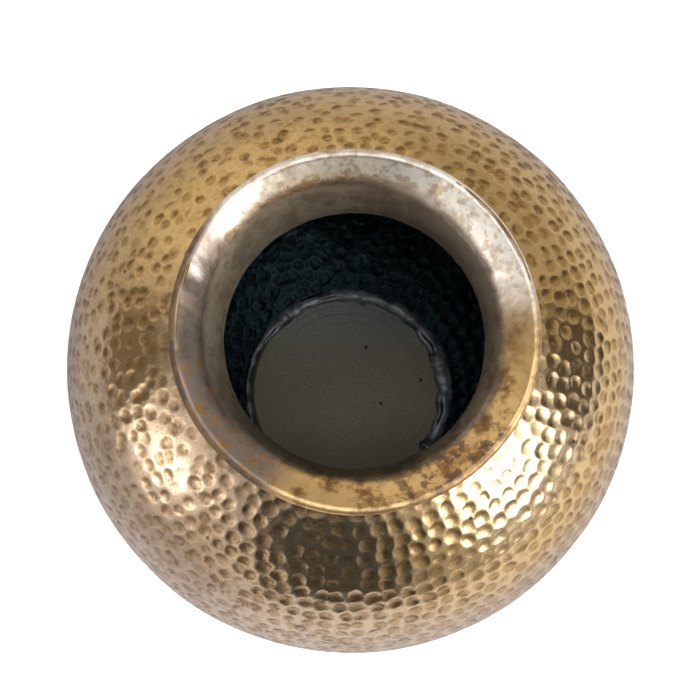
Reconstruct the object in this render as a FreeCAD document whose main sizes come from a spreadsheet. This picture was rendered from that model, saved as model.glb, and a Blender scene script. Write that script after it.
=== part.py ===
"""Round brass kalash pot: two sheet halves, a neck collar with a wired lip, a base plate and a foot ring.

Units are millimetres. The pot stands on z = 0 and its axis is +Z. Every round piece is the revolution of
a section drawn in the XZ plane, where x is the distance from the axis.
"""
import FreeCAD, Part

import math
import os
import re

import Sketcher

SIZES = {
    # belly
    "belly_radius": 125.0,
    "equator_height": 95.0,
    "belly_band": 12.0,
    "body_sheet": 1.4,
    "seam_height": 91.0,
    "lap_height": 6.0,
    "shoulder_side_arc": 88.0,
    "shoulder_turn": 50.0,
    "shoulder_top_arc": 130.0,
    "bowl_side_arc": 75.0,
    "bowl_turn": 55.0,
    "bowl_bottom_arc": 130.0,
    # neck and lip
    "collar_sheet": 1.2,
    "collar_bore": 52.0,
    "collar_bottom": 186.5,
    "neck_straight_top": 194.2,
    "neck_arc": 28.3,
    "neck_lean": 32.0,
    "crease_arc": 5.0,
    "crease_lean": 45.0,
    "lip_arc": 68.0,
    "lip_lean": 57.0,
    "wire_radius": 1.0,
    "roll_gap": 0.05,
    "roll_end": 145.0,
    # base
    "spigot_radius": 50.0,
    "spigot_bottom": 3.0,
    "base_plate_sheet": 1.5,
    "base_plate_top": 8.0,
    "foot_radius": 57.0,
    "foot_sole": 1.5,
    "foot_height": 7.0,
    "foot_top_radius": 54.0,
    "foot_cove_arc": 7.0,
    # braze
    "braze_gap": 0.05,
    "belly_braze_height": 3.0,
    "belly_braze_arc": 2.0,
    "neck_braze_leg": 2.7,
    "base_bead_inside": 46.3,
    "base_bead_side": 1.3,
    "base_bead_arc": 2.0,
}

COLLAR_OUTSIDE = "collar_bore + collar_sheet"
SPIGOT_OUTSIDE = "spigot_radius + body_sheet"
INNER_WALL = "belly_radius - body_sheet"
LAP_WALL = "belly_radius - body_sheet / 2"
LAP_TOP = "seam_height + lap_height"
BAND_TOP = "equator_height + belly_band / 2"
BAND_BOTTOM = "equator_height - belly_band / 2"
ROLL_INSIDE = "wire_radius + roll_gap"
ROLL_OUTSIDE = "wire_radius + roll_gap + collar_sheet"

LINE = None
LEFT = 1
RIGHT = -1
TINY = 1e-9

doc = FreeCAD.newDocument("kalash_pot")
sheet = doc.addObject("Spreadsheet::Sheet", "Sizes")
for row, (alias, value) in enumerate(SIZES.items(), start=1):
    sheet.set(f"A{row}", alias)
    sheet.set(f"B{row}", str(value))
    sheet.setAlias(f"B{row}", alias)
doc.recompute()


def bound(expression):
    """The expression as other objects write it, with the sheet's name before each size."""
    def with_sheet(word):
        return f"Sizes.{word.group()}" if word.group() in SIZES else word.group()
    return re.sub(r"[a-z_]+", with_sheet, expression)


def at_angle(centre, radius, angle):
    """Point on a circle of the section, at an angle in degrees that turns from +X to +Z."""
    x, z = centre
    return (f"({x}) + ({radius}) * cos(({angle}) * 1deg)", f"({z}) + ({radius}) * sin(({angle}) * 1deg)")


def at_distance(centre, radius, distance, side):
    """Point on a circle of the section at a known distance from the axis, above (+) or below (-) its centre."""
    x, z = centre
    return (distance, f"({z}) {side} sqrt(({radius}) ^ 2 - (({distance}) - ({x})) ^ 2)")


def arc(turn, radius):
    """An edge that turns left or right on its way to the next corner. It spans less than half a circle."""
    return (turn, radius)


def segment_between(start, end, edge):
    """Sketch geometry from start to end, and which of its ends is at start and at end."""
    if edge is LINE:
        return Part.LineSegment(start, end), 1, 2
    turn, radius = edge
    size = float(sheet.evalExpression(radius))
    chord = end - start
    across = FreeCAD.Vector(-chord.y, chord.x, 0).normalize() * turn
    reach = math.sqrt(size ** 2 - (chord.Length / 2) ** 2)
    centre = (start + end) * 0.5 + across * reach
    first, last = (start, end) if turn == LEFT else (end, start)
    angles = [math.atan2(point.y - centre.y, point.x - centre.x) for point in (first, last)]
    circle = Part.Circle(centre, FreeCAD.Vector(0, 0, 1), size)
    curve = Part.ArcOfCircle(circle, angles[0], angles[1])
    return (curve, 1, 2) if turn == LEFT else (curve, 2, 1)


def bind(sketch, constraint, name, expression):
    """Add a constraint and bind its value to an expression of the sheet's sizes."""
    index = sketch.addConstraint(constraint)
    sketch.renameConstraint(index, name)
    sketch.setExpression(f"Constraints.{name}", bound(expression))


def new_body(label):
    body = doc.addObject("PartDesign::Body", label)
    body.Label = label
    return body


def attached_sketch(body, name, role):
    """A sketch on one of the body's own origin planes."""
    plane = next(feature for feature in body.Origin.OriginFeatures if feature.Role == role)
    sketch = body.newObject("Sketcher::SketchObject", name)
    sketch.AttachmentSupport = [(plane, "")]
    sketch.MapMode = "FlatFace"
    return sketch


def revolved_piece(label, corners):
    """A body made by turning a closed section about Z. Each corner is a point and the edge that leaves it."""
    body = new_body(label)
    sketch = attached_sketch(body, f"{label}_section", "XZ_Plane")
    points = []
    for (x, z), edge in corners:
        points.append(FreeCAD.Vector(float(sheet.evalExpression(x)), float(sheet.evalExpression(z)), 0))
    ends = []
    for number, (corner, edge) in enumerate(corners):
        following = points[(number + 1) % len(points)]
        geometry, start_end, far_end = segment_between(points[number], following, edge)
        sketch.addGeometry(geometry, False)
        ends.append((start_end, far_end))
    for number, ((x, z), edge) in enumerate(corners):
        following = (number + 1) % len(corners)
        start_end, far_end = ends[number]
        sketch.addConstraint(Sketcher.Constraint("Coincident", number, far_end, following, ends[following][0]))
        place = points[number]
        bind(sketch, Sketcher.Constraint("DistanceX", number, start_end, place.x), f"x{number}", x)
        if abs(place.y) < TINY:
            sketch.addConstraint(Sketcher.Constraint("PointOnObject", number, start_end, -1))
        else:
            bind(sketch, Sketcher.Constraint("DistanceY", number, start_end, place.y), f"z{number}", z)
        if edge is not LINE:
            size = float(sheet.evalExpression(edge[1]))
            bind(sketch, Sketcher.Constraint("Radius", number, size), f"radius{number}", edge[1])
    turned = body.newObject("PartDesign::Revolution", f"{label}_revolution")
    turned.Profile = sketch
    turned.ReferenceAxis = (sketch, ["V_Axis"])
    turned.Angle = 360
    sketch.Visibility = False
    return body


# Centres of the arcs that make the belly's profile. Arcs that meet share a tangent, because the second
# centre lies on the line through the first centre and the place where they meet.
shoulder_side_centre = ("belly_radius - shoulder_side_arc", BAND_TOP)
shoulder_top_centre = at_angle(shoulder_side_centre, "shoulder_side_arc - shoulder_top_arc", "shoulder_turn")
bowl_side_centre = ("belly_radius - bowl_side_arc", BAND_BOTTOM)
bowl_bottom_centre = at_angle(bowl_side_centre, "bowl_side_arc - bowl_bottom_arc", "-bowl_turn")

# Centres of the arcs that make the neck and the lip, from the straight neck out to the curled edge.
neck_centre = ("collar_bore + neck_arc", "neck_straight_top")
crease_centre = at_angle(neck_centre, "neck_arc - crease_arc", "180 - neck_lean")
lip_centre = at_angle(crease_centre, "crease_arc - lip_arc", "180 - crease_lean")
roll_centre = at_angle(lip_centre, f"lip_arc - ({ROLL_OUTSIDE})", "180 - lip_lean")


def shoulder_shell():
    """Upper half of the belly. Its thinned lower edge laps over the bowl's."""
    top_inside = "shoulder_top_arc - body_sheet"
    side_inside = "shoulder_side_arc - body_sheet"
    return revolved_piece("shoulder_shell", [
        (("belly_radius", "seam_height"), LINE),
        (("belly_radius", BAND_TOP), arc(LEFT, "shoulder_side_arc")),
        (at_angle(shoulder_side_centre, "shoulder_side_arc", "shoulder_turn"), arc(LEFT, "shoulder_top_arc")),
        (at_distance(shoulder_top_centre, "shoulder_top_arc", COLLAR_OUTSIDE, "+"), LINE),
        (at_distance(shoulder_top_centre, top_inside, COLLAR_OUTSIDE, "+"), arc(RIGHT, top_inside)),
        (at_angle(shoulder_side_centre, side_inside, "shoulder_turn"), arc(RIGHT, side_inside)),
        ((INNER_WALL, BAND_TOP), LINE),
        ((INNER_WALL, LAP_TOP), LINE),
        ((LAP_WALL, LAP_TOP), LINE),
        ((LAP_WALL, "seam_height"), LINE),
    ])


def lower_bowl():
    """Lower half of the belly, with a short turned-down spigot round the hole in its bottom."""
    bottom_inside = "bowl_bottom_arc - body_sheet"
    side_inside = "bowl_side_arc - body_sheet"
    return revolved_piece("lower_bowl", [
        (("spigot_radius", "spigot_bottom"), LINE),
        ((SPIGOT_OUTSIDE, "spigot_bottom"), LINE),
        (at_distance(bowl_bottom_centre, "bowl_bottom_arc", SPIGOT_OUTSIDE, "-"), arc(LEFT, "bowl_bottom_arc")),
        (at_angle(bowl_side_centre, "bowl_side_arc", "-bowl_turn"), arc(LEFT, "bowl_side_arc")),
        (("belly_radius", BAND_BOTTOM), LINE),
        (("belly_radius", "seam_height"), LINE),
        ((LAP_WALL, "seam_height"), LINE),
        ((LAP_WALL, LAP_TOP), LINE),
        ((INNER_WALL, LAP_TOP), LINE),
        ((INNER_WALL, BAND_BOTTOM), arc(RIGHT, side_inside)),
        (at_angle(bowl_side_centre, side_inside, "-bowl_turn"), arc(RIGHT, bottom_inside)),
        (at_distance(bowl_bottom_centre, bottom_inside, "spigot_radius", "-"), LINE),
    ])


def neck_collar():
    """Neck and flared lip in one sheet. Its lower end stands inside the belly and its edge curls under."""
    neck_outside = "neck_arc - collar_sheet"
    crease_outside = "crease_arc - collar_sheet"
    lip_under = "lip_arc - collar_sheet"
    return revolved_piece("neck_collar", [
        (("collar_bore", "collar_bottom"), LINE),
        (("collar_bore", "neck_straight_top"), arc(RIGHT, "neck_arc")),
        (at_angle(neck_centre, "neck_arc", "180 - neck_lean"), arc(RIGHT, "crease_arc")),
        (at_angle(crease_centre, "crease_arc", "180 - crease_lean"), arc(RIGHT, "lip_arc")),
        (at_angle(lip_centre, "lip_arc", "180 - lip_lean"), arc(RIGHT, ROLL_OUTSIDE)),
        (at_angle(roll_centre, ROLL_OUTSIDE, "0"), arc(RIGHT, ROLL_OUTSIDE)),
        (at_angle(roll_centre, ROLL_OUTSIDE, "-roll_end"), LINE),
        (at_angle(roll_centre, ROLL_INSIDE, "-roll_end"), arc(LEFT, ROLL_INSIDE)),
        (at_angle(roll_centre, ROLL_INSIDE, "0"), arc(LEFT, ROLL_INSIDE)),
        (at_angle(lip_centre, lip_under, "180 - lip_lean"), arc(LEFT, lip_under)),
        (at_angle(crease_centre, crease_outside, "180 - crease_lean"), arc(LEFT, crease_outside)),
        (at_angle(neck_centre, neck_outside, "180 - neck_lean"), arc(LEFT, neck_outside)),
        ((COLLAR_OUTSIDE, "neck_straight_top"), LINE),
        ((COLLAR_OUTSIDE, "collar_bottom"), LINE),
    ])


def foot_ring():
    """Ring that sleeves over the bowl's spigot and carries the pot, with a coved side."""
    return revolved_piece("foot_ring", [
        ((SPIGOT_OUTSIDE, "0"), LINE),
        (("foot_radius", "0"), LINE),
        (("foot_radius", "foot_sole"), arc(RIGHT, "foot_cove_arc")),
        (("foot_top_radius", "foot_height"), LINE),
        ((SPIGOT_OUTSIDE, "foot_height"), LINE),
    ])


def belly_seam_braze():
    """Low bead on the inside of the lap between the two halves."""
    return revolved_piece("belly_seam_braze", [
        ((INNER_WALL, f"{LAP_TOP} - belly_braze_height / 2"), LINE),
        ((INNER_WALL, f"{LAP_TOP} + belly_braze_height / 2"), arc(LEFT, "belly_braze_arc")),
    ])


def neck_seam_braze():
    """Flat-faced fillet in the corner between the shoulder and the neck."""
    on_shoulder = "shoulder_top_arc + braze_gap"
    outer_edge = f"{COLLAR_OUTSIDE} + neck_braze_leg"
    corner = at_distance(shoulder_top_centre, on_shoulder, COLLAR_OUTSIDE, "+")
    return revolved_piece("neck_seam_braze", [
        (corner, arc(RIGHT, on_shoulder)),
        (at_distance(shoulder_top_centre, on_shoulder, outer_edge, "+"), LINE),
        ((COLLAR_OUTSIDE, f"{corner[1]} + neck_braze_leg"), LINE),
    ])


def foot_seam_braze():
    """Ring of braze that fills the wedge between the foot ring's top and the bowl."""
    under_bowl = "bowl_bottom_arc + braze_gap"
    return revolved_piece("foot_seam_braze", [
        ((SPIGOT_OUTSIDE, "foot_height"), LINE),
        (("foot_top_radius", "foot_height"), LINE),
        (at_distance(bowl_bottom_centre, under_bowl, "foot_top_radius", "-"), arc(RIGHT, under_bowl)),
        (at_distance(bowl_bottom_centre, under_bowl, SPIGOT_OUTSIDE, "-"), LINE),
    ])


def base_seam_bead():
    """Bead that seals the base plate to the spigot, seen from above inside the pot."""
    return revolved_piece("base_seam_bead", [
        (("base_bead_inside", "base_plate_top"), LINE),
        (("spigot_radius", "base_plate_top"), LINE),
        (("spigot_radius", "base_plate_top + base_bead_side"), arc(LEFT, "base_bead_arc")),
    ])


def base_plate():
    """Flat disc that closes the spigot."""
    body = new_body("base_plate")
    outline = attached_sketch(body, "base_plate_outline", "XY_Plane")
    outline.setExpression("AttachmentOffset.Base.z", bound("base_plate_top - base_plate_sheet"))
    outline.addGeometry(Part.Circle(FreeCAD.Vector(), FreeCAD.Vector(0, 0, 1), SIZES["spigot_radius"]), False)
    outline.addConstraint(Sketcher.Constraint("Coincident", 0, 3, -1, 1))
    bind(outline, Sketcher.Constraint("Radius", 0, SIZES["spigot_radius"]), "radius", "spigot_radius")
    disc = body.newObject("PartDesign::Pad", "base_plate_pad")
    disc.Profile = outline
    disc.setExpression("Length", bound("base_plate_sheet"))
    outline.Visibility = False
    return body


def rim_wire():
    """Wire that stiffens the rim, inside the curl of the lip."""
    wire = doc.addObject("Part::Torus", "rim_wire")
    wire.Label = "rim_wire"
    wire.setExpression("Radius1", bound(roll_centre[0]))
    wire.setExpression("Radius2", bound("wire_radius"))
    wire.setExpression("Placement.Base.z", bound(roll_centre[1]))
    return wire


pieces = [
    shoulder_shell(),
    lower_bowl(),
    neck_collar(),
    foot_ring(),
    base_plate(),
    rim_wire(),
    base_seam_bead(),
    belly_seam_braze(),
    neck_seam_braze(),
    foot_seam_braze(),
]
doc.recompute()

for thing in doc.Objects:
    if "Invalid" in thing.State or "Error" in thing.State:
        raise RuntimeError(f"{thing.Label} did not compute: {thing.State}")

for piece in pieces:
    shape = piece.Shape
    if shape.isNull() or not shape.isValid() or len(shape.Solids) != 1:
        raise RuntimeError(f"{piece.Label} is not one valid solid")

os.makedirs("parts", exist_ok=True)
for piece in pieces:
    piece.Shape.exportStep(f"parts/{piece.Label}.step")
    box = piece.Shape.optimalBoundingBox(False, False)
    print(f"{piece.Label}: {piece.Shape.Volume:.0f} mm3, r {box.XMax:.2f}, z {box.ZMin:.2f} to {box.ZMax:.2f}")
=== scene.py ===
"""Looks of the brass kalash pot: hammered sheet, worn lip, dark inside, soldered base. Lengths in metres."""

import math

import bpy
import numpy as np
from mathutils import Matrix, Vector


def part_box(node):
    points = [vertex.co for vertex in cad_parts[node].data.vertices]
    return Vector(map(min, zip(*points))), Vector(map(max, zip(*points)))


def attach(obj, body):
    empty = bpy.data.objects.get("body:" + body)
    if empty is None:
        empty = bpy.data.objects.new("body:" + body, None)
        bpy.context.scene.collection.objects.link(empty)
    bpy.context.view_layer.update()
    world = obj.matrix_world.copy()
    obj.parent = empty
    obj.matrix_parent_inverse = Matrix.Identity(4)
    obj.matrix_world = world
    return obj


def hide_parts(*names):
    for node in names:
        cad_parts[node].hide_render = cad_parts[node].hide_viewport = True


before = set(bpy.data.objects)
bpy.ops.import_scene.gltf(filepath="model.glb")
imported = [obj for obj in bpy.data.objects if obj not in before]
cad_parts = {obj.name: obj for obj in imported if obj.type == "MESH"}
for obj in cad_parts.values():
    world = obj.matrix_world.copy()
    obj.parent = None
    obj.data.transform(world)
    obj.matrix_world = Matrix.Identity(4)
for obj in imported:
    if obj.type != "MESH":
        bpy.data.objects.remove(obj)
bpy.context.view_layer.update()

MM = 0.001
TURN = 2 * math.pi
SEED = 11

# ---------------------------------------------------------------------------------------------------------
# The pot's section, with the CAD model's driving dimensions. x is the distance from the axis.
# ---------------------------------------------------------------------------------------------------------
shoulder_low, shoulder_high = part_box("shoulder_shell")
bowl_low, bowl_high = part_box("lower_bowl")
collar_low, collar_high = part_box("neck_collar")
plate_low, plate_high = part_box("base_plate")

BELLY_RADIUS = shoulder_high.x
SEAM_HEIGHT = shoulder_low.z
LAP_TOP = bowl_high.z
EQUATOR_HEIGHT = 95 * MM
BAND = 12 * MM
SHEET = 1.4 * MM
SHOULDER_SIDE_ARC, SHOULDER_TURN, SHOULDER_TOP_ARC = 88 * MM, math.radians(50), 130 * MM
BOWL_SIDE_ARC, BOWL_TURN, BOWL_BOTTOM_ARC = 75 * MM, math.radians(55), 130 * MM
COLLAR_SHEET = 1.2 * MM
COLLAR_BORE = 52 * MM
COLLAR_BOTTOM = collar_low.z
NECK_STRAIGHT_TOP = 194.2 * MM
NECK_ARC, NECK_LEAN = 28.3 * MM, math.radians(32)
CREASE_ARC, CREASE_LEAN = 5 * MM, math.radians(45)
LIP_ARC, LIP_LEAN = 68 * MM, math.radians(57)
WIRE_RADIUS, ROLL_GAP, ROLL_END = 1 * MM, 0.05 * MM, math.radians(145)
SPIGOT_RADIUS = plate_high.x
SPIGOT_BOTTOM = bowl_low.z
PLATE_TOP = plate_high.z

BAND_TOP = EQUATOR_HEIGHT + BAND / 2
BAND_BOTTOM = EQUATOR_HEIGHT - BAND / 2
LAP_RADIUS = BELLY_RADIUS - SHEET / 2
WALL_RADIUS = BELLY_RADIUS - SHEET
COLLAR_OUTSIDE = COLLAR_BORE + COLLAR_SHEET
SPIGOT_OUTSIDE = SPIGOT_RADIUS + SHEET
ROLL_INSIDE = WIRE_RADIUS + ROLL_GAP
ROLL_OUTSIDE = ROLL_INSIDE + COLLAR_SHEET


def around(centre, radius, angle):
    """Point of the section on a circle, at an angle from +X towards +Z."""
    return np.array([centre[0] + radius * math.cos(angle), centre[1] + radius * math.sin(angle)])


def angle_at(centre, radius, distance, side):
    """Angle at which a circle of the section is that far from the axis. side is 1 above its centre or -1."""
    return side * math.acos((distance - centre[0]) / radius)


shoulder_side = np.array([BELLY_RADIUS - SHOULDER_SIDE_ARC, BAND_TOP])
shoulder_top = around(shoulder_side, SHOULDER_SIDE_ARC - SHOULDER_TOP_ARC, SHOULDER_TURN)
bowl_side = np.array([BELLY_RADIUS - BOWL_SIDE_ARC, BAND_BOTTOM])
bowl_bottom = around(bowl_side, BOWL_SIDE_ARC - BOWL_BOTTOM_ARC, -BOWL_TURN)
neck_centre = np.array([COLLAR_BORE + NECK_ARC, NECK_STRAIGHT_TOP])
crease_centre = around(neck_centre, NECK_ARC - CREASE_ARC, math.pi - NECK_LEAN)
lip_centre = around(crease_centre, CREASE_ARC - LIP_ARC, math.pi - CREASE_LEAN)
roll_centre = around(lip_centre, LIP_ARC - ROLL_OUTSIDE, math.pi - LIP_LEAN)


def arc(centre, radius, start, end, step):
    """Points along an arc of the section, ends included."""
    count = max(2, math.ceil(abs(end - start) * radius / step) + 1)
    return np.array([around(centre, radius, a) for a in np.linspace(start, end, count)])


def line(start, end, step):
    """Points along a straight part of the section, ends included."""
    start, end = np.array(start), np.array(end)
    count = max(2, math.ceil(np.linalg.norm(end - start) / step) + 1)
    return start + np.linspace(0, 1, count)[:, None] * (end - start)


def joined(*runs):
    """One closed outline from runs of points, without the places where two runs meet twice."""
    points = np.concatenate(runs)
    step = np.linalg.norm(points - np.roll(points, 1, axis=0), axis=1)
    return points[step > 1e-7]


# ---------------------------------------------------------------------------------------------------------
# The belly's profile as one coordinate: the distance along the outside from the neck's opening to the
# spigot. Both halves are hammered after they are joined, so both read the same field of marks.
# ---------------------------------------------------------------------------------------------------------
TOP_OPENING = angle_at(shoulder_top, SHOULDER_TOP_ARC, COLLAR_OUTSIDE, 1)
BOTTOM_OPENING = angle_at(bowl_bottom, BOWL_BOTTOM_ARC, SPIGOT_OUTSIDE, -1)
TOP_RUN = SHOULDER_TOP_ARC * (TOP_OPENING - SHOULDER_TURN)
SIDE_RUN = SHOULDER_SIDE_ARC * SHOULDER_TURN
LOW_SIDE_RUN = BOWL_SIDE_ARC * BOWL_TURN
LOW_RUN = BOWL_BOTTOM_ARC * (-BOTTOM_OPENING - BOWL_TURN)
BAND_START = TOP_RUN + SIDE_RUN
BAND_END = BAND_START + BAND
LOW_START = BAND_END + LOW_SIDE_RUN
WHOLE_RUN = LOW_START + LOW_RUN


def run_of(points):
    """Distance along the belly's outside, and the outward normal there, for points in or on the sheet."""
    r, z = points[:, 0], points[:, 1]
    top = np.arctan2(z - shoulder_top[1], r - shoulder_top[0])
    side = np.arctan2(z - shoulder_side[1], r - shoulder_side[0])
    low_side = np.arctan2(z - bowl_side[1], r - bowl_side[0])
    low = np.arctan2(z - bowl_bottom[1], r - bowl_bottom[0])
    zones = [top > SHOULDER_TURN, side > 0, low_side > 0, low_side > -BOWL_TURN]
    run = np.select(zones, [
        SHOULDER_TOP_ARC * (TOP_OPENING - top),
        TOP_RUN + SHOULDER_SIDE_ARC * (SHOULDER_TURN - side),
        BAND_START + (BAND_TOP - z),
        BAND_END - BOWL_SIDE_ARC * low_side,
    ], LOW_START + BOWL_BOTTOM_ARC * (-BOWL_TURN - low))
    angle = np.select(zones, [top, side, np.zeros_like(r), low_side], low)
    return run, np.stack([np.cos(angle), np.sin(angle)], axis=1)


def radius_of(run):
    """Distance from the axis at a distance along the belly's outside."""
    top = TOP_OPENING - run / SHOULDER_TOP_ARC
    side = SHOULDER_TURN - (run - TOP_RUN) / SHOULDER_SIDE_ARC
    low_side = (BAND_END - run) / BOWL_SIDE_ARC
    low = -BOWL_TURN - (run - LOW_START) / BOWL_BOTTOM_ARC
    return np.select([run < TOP_RUN, run < BAND_START, run < BAND_END, run < LOW_START], [
        shoulder_top[0] + SHOULDER_TOP_ARC * np.cos(top),
        shoulder_side[0] + SHOULDER_SIDE_ARC * np.cos(side),
        BELLY_RADIUS,
        bowl_side[0] + BOWL_SIDE_ARC * np.cos(low_side),
    ], bowl_bottom[0] + BOWL_BOTTOM_ARC * np.cos(low))


def between(value, low, high):
    """Smooth step from 0 at low to 1 at high."""
    share = np.clip((value - low) / (high - low), 0, 1)
    return share * share * (3 - 2 * share)


def ripple(theta, along, wavelength, count, rng):
    """Smooth random surface in -1 to 1, periodic round the pot, from waves of about one wavelength."""
    total = np.zeros(np.broadcast(theta, along).shape)
    for _ in range(count):
        heading = rng.uniform(0, TURN)
        waves = round(BELLY_RADIUS * TURN / wavelength * math.cos(heading) * rng.uniform(0.6, 1.3))
        slope = TURN / wavelength * math.sin(heading) * rng.uniform(0.6, 1.3)
        total += np.cos(waves * theta + slope * along + rng.uniform(0, TURN))
    return total / math.sqrt(count) / 1.6


# ---------------------------------------------------------------------------------------------------------
# Hammer marks
# ---------------------------------------------------------------------------------------------------------
FIELD_COLUMNS = 2160
FIELD_STEP = 0.36 * MM
FIELD_ROWS = math.ceil(WHOLE_RUN / FIELD_STEP) + 1
ROW_SPACING = 6.6 * MM
MARK_SPACING = 7.2 * MM
MARK_RADIUS = 3.6 * MM
MARK_DEPTH = 0.5 * MM
FIRST_ROW = 5 * MM
NEAT_SIDE = math.radians(-40)
SMOOTH_SIDE = math.radians(-142)
SMOOTH_RUN = 40 * MM
SHALLOW_RUN = 38 * MM
STRUCK_FROM = math.radians(110)
WAVE_DEPTH = 0.3 * MM
WAVE_LENGTH = 55 * MM
MARK_REACH = 1.3
field_along = np.arange(FIELD_ROWS) * FIELD_STEP
field_radius = radius_of(field_along)


def stamp(fields, place, row_radius, long_way, lean, deepest, struck, painted_strength):
    """Strikes one mark, lopsided towards struck, into the fields of depth, share, painted shade on its steep
    side and painted highlight on its other rim.
    """
    depth, share, mark_shade, lit = fields
    angle, centre, size = place
    first = max(0, int((centre - MARK_REACH * size) / FIELD_STEP))
    last = min(FIELD_ROWS, int((centre + MARK_REACH * size) / FIELD_STEP) + 2)
    if last <= first:
        return
    reach = int(MARK_REACH * size / row_radius / TURN * FIELD_COLUMNS) + 2
    column = int(angle / TURN * FIELD_COLUMNS)
    columns = np.arange(column - reach, column + reach + 1)
    across = (columns * TURN / FIELD_COLUMNS - angle)[None, :] * field_radius[first:last, None]
    down = field_along[first:last, None] - centre
    u = (across * math.cos(lean) + down * math.sin(lean)) * long_way
    v = (down * math.cos(lean) - across * math.sin(lean)) / long_way
    inside = np.clip(1 - (u * u + v * v) / size ** 2, 0, 1)
    side = (across * math.sin(struck - angle) + down * math.cos(struck - angle)) / size
    dish = deepest * inside * (1 + 0.4 * side)
    # painted shade: a dark crescent on the mark's steep side; painted highlight: a bright line along its
    # other rim
    crescent = painted_strength * between(side, 0.0, 0.6) * between(inside, 0.02, 0.25)
    bright = between(-side, 0.1, 0.6) * between(inside, 0, 0.06) * between(inside, 0.34, 0.12)
    window = np.ix_(np.arange(first, last), columns % FIELD_COLUMNS)
    mark_shade[window] = np.where(dish > depth[window], crescent, mark_shade[window])
    lit[window] = np.where(dish > depth[window], bright * painted_strength, lit[window])
    depth[window] = np.maximum(depth[window], dish)
    share[window] = np.maximum(share[window], inside * min(1, deepest / MARK_DEPTH))


def hammer_field():
    """The hammered surface over the run and the turn: its depth below the true profile, how deep in a mark
    each place is, how much painted shade lies against the steep side of a mark and how much painted highlight
    lies along its other rim, the last three 0 to 1."""
    rng = np.random.default_rng(SEED)
    fields = [np.zeros((FIELD_ROWS, FIELD_COLUMNS)) for _ in range(4)]
    for number, row_run in enumerate(np.arange(FIRST_ROW, WHOLE_RUN - 4 * MM, ROW_SPACING)):
        row_radius = float(radius_of(np.array([row_run]))[0])
        marks = round(TURN * row_radius / MARK_SPACING)
        start = rng.uniform(0, TURN) if number % 5 == 0 else start + 0.5 * TURN / marks
        fade = 0.5 + 0.5 * min(1.0, row_run / SHALLOW_RUN)
        for mark in range(marks):
            angle = start + mark * TURN / marks
            # rows are neat and deep on one side of the pot, loose and shallow on the other
            loose = 0.5 - 0.5 * math.cos(angle - NEAT_SIDE)
            jitter = 0.06 + 0.2 * loose
            angle += rng.normal(0, jitter) * MARK_SPACING / row_radius
            centre = row_run + rng.normal(0, jitter) * ROW_SPACING
            centre += 0.8 * MM * math.sin(3 * angle + number) * loose
            size = MARK_RADIUS * rng.uniform(0.85, 1.12) * (1 - 0.14 * loose)
            long_way = rng.uniform(0.9, 1.14)
            lean = rng.uniform(0, TURN)
            deepest = MARK_DEPTH * fade * rng.uniform(0.65, 1.15) * (1 - 0.35 * loose)
            smooth_side = 0.5 + 0.5 * math.cos(angle - SMOOTH_SIDE)
            deepest *= 1 - 0.55 * smooth_side ** 8 * max(0.0, 1 - row_run / SMOOTH_RUN)
            if rng.random() < 0.02 + 0.14 * loose:
                deepest *= 0.25
            struck = STRUCK_FROM + rng.normal(0, 0.5)
            painted_strength = rng.uniform(0.3, 1) * (0.5 + 0.5 * fade)
            stamp(fields, (angle, centre, size), row_radius, long_way, lean, deepest, struck, painted_strength)
    depth, share, mark_shade, lit = fields
    theta = np.arange(FIELD_COLUMNS) * TURN / FIELD_COLUMNS
    wave = 0.5 + 0.5 * ripple(theta[None, :], field_along[:, None], WAVE_LENGTH, 16, rng)
    return depth + WAVE_DEPTH * np.clip(wave, 0, 1), share, mark_shade, lit


def softened(field, passes):
    """The field with its sharp edges rounded, as they are on the other side of the sheet."""
    for _ in range(passes):
        field = (np.roll(field, 1, 1) + 2 * field + np.roll(field, -1, 1)) / 4
        padded = np.pad(field, ((1, 1), (0, 0)), mode="edge")
        field = (padded[:-2] + 2 * field + padded[2:]) / 4
    return field


def read_field(field, run, theta):
    """Values of a field at distances along the profile and angles round it."""
    row = np.clip(run / FIELD_STEP, 0, FIELD_ROWS - 1.001)
    column = (theta / TURN * FIELD_COLUMNS) % FIELD_COLUMNS
    row0, column0 = np.floor(row).astype(int), np.floor(column).astype(int)
    down, across = row - row0, column - column0
    column1 = (column0 + 1) % FIELD_COLUMNS
    upper = field[row0][:, column0] * (1 - across) + field[row0][:, column1] * across
    lower = field[row0 + 1][:, column0] * (1 - across) + field[row0 + 1][:, column1] * across
    return upper * (1 - down)[:, None] + lower * down[:, None]


# ---------------------------------------------------------------------------------------------------------
# Meshes
# ---------------------------------------------------------------------------------------------------------
def revolved_mesh(name, radii, heights, materials, material_of_row=None, attributes=None):
    """A closed mesh from a section turned about Z. radii and heights hold one row per section point."""
    rows, columns = radii.shape
    theta = np.arange(columns) * TURN / columns
    places = np.stack([radii * np.cos(theta), radii * np.sin(theta), heights], axis=2).reshape(-1, 3)
    i, j = np.meshgrid(np.arange(rows), np.arange(columns), indexing="ij")
    i2, j2 = (i + 1) % rows, (j + 1) % columns
    faces = np.stack([i * columns + j, i * columns + j2, i2 * columns + j2, i2 * columns + j], axis=2)
    mesh = bpy.data.meshes.new(name)
    mesh.from_pydata(places.tolist(), [], faces.reshape(-1, 4).tolist())
    mesh.polygons.foreach_set("use_smooth", np.ones(rows * columns, bool))
    for material in materials:
        mesh.materials.append(material)
    if material_of_row is not None:
        mesh.polygons.foreach_set("material_index", np.repeat(material_of_row, columns).astype(np.int32))
    for key, values in (attributes or {}).items():
        layer = mesh.attributes.new(key, "FLOAT", "POINT")
        layer.data.foreach_set("value", values.astype(np.float32).ravel())
    mesh.update()
    piece = bpy.data.objects.new(name, mesh)
    bpy.context.scene.collection.objects.link(piece)
    return piece


def stands_for(piece, node):
    """Puts a piece in the place of a CAD node."""
    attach(piece, "root")
    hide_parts(node)


SHOULDER_COLUMNS = 900
BOWL_COLUMNS = 720
marks_depth, marks_share, marks_shade, marks_lit = hammer_field()
marks_inside = softened(marks_depth, 1)


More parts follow.
